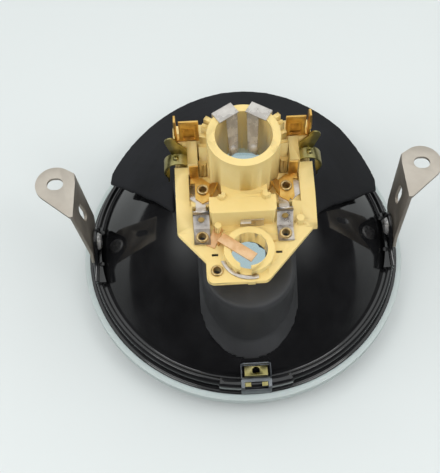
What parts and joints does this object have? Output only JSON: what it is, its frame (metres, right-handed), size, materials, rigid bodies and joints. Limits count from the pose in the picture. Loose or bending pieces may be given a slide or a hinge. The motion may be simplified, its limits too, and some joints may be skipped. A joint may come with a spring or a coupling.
{
  "type": "scooter headlight unit",
  "caption": "Round scooter headlight unit: glass lens, black steel reflector, rubber boot and flap, moulded bulb holder with contacts, and two pivoting mounting ears.",
  "frame": {"origin": "under the middle of the lens, on the surface that the lens rests on", "axes": "+Z along the optical axis from the front of the lens to the back, +Y towards the lamp's upper side, +X across through the two ears"},
  "size_m": [0.1758, 0.1454, 0.104],
  "materials": {
    "glass": "clear moulded glass",
    "seal": "matt",
    "black_steel": "gloss black enamel",
    "boot_rubber": "matt",
    "flap_rubber": "matt",
    "rivet_steel": "bright",
    "ear_steel": "nickel plated",
    "grey_steel": "phosphated spring steel",
    "yellow_zinc": "yellow passivated",
    "cream_plastic": "satin moulded",
    "nickel": "plated",
    "brass": "satin",
    "copper": "satin copper"
  },
  "bodies": {
    "lamp": {"lens": "glass", "lens_seal": "seal", "reflector": "black_steel", "rubber_boot": "boot_rubber", "drip_flap": "flap_rubber", "side_bracket_left": "black_steel", "side_bracket_right": "black_steel", "bracket_rivets": "rivet_steel", "pivot_rivet_left": "rivet_steel", "pivot_rivet_right": "rivet_steel", "lower_bracket": "black_steel", "adjuster_clip": "grey_steel", "adjuster_nut": "yellow_zinc", "bulb_holder": "cream_plastic", "main_contact_left": "nickel", "main_contact_right": "nickel", "terminal_left": "brass", "terminal_right": "brass", "holder_clip_left": "yellow_zinc", "holder_clip_right": "yellow_zinc", "brass_contact_left": "brass", "brass_contact_right": "brass", "link_strip_left": "nickel", "link_strip_right": "nickel", "contact_eyelets": "brass", "parking_contact": "copper", "parking_clamp": "copper", "parking_spring": "nickel", "earth_strip": "nickel"},
    "ear_l": {"ear_left": "ear_steel"},
    "ear_r": {"ear_right": "ear_steel"}
  },
  "joints": [
    {"name": "ear_pivot_left", "type": "hinge", "parent": "lamp", "child": "ear_l", "pos_m": [-0.0671, 0, 0.0276], "axis": [1, 0, 0], "range_deg": [-15, 15]},
    {"name": "ear_pivot_right", "type": "hinge", "parent": "lamp", "child": "ear_r", "pos_m": [0.0671, 0, 0.0276], "axis": [1, 0, 0], "range_deg": [-15, 15]}
  ]
}
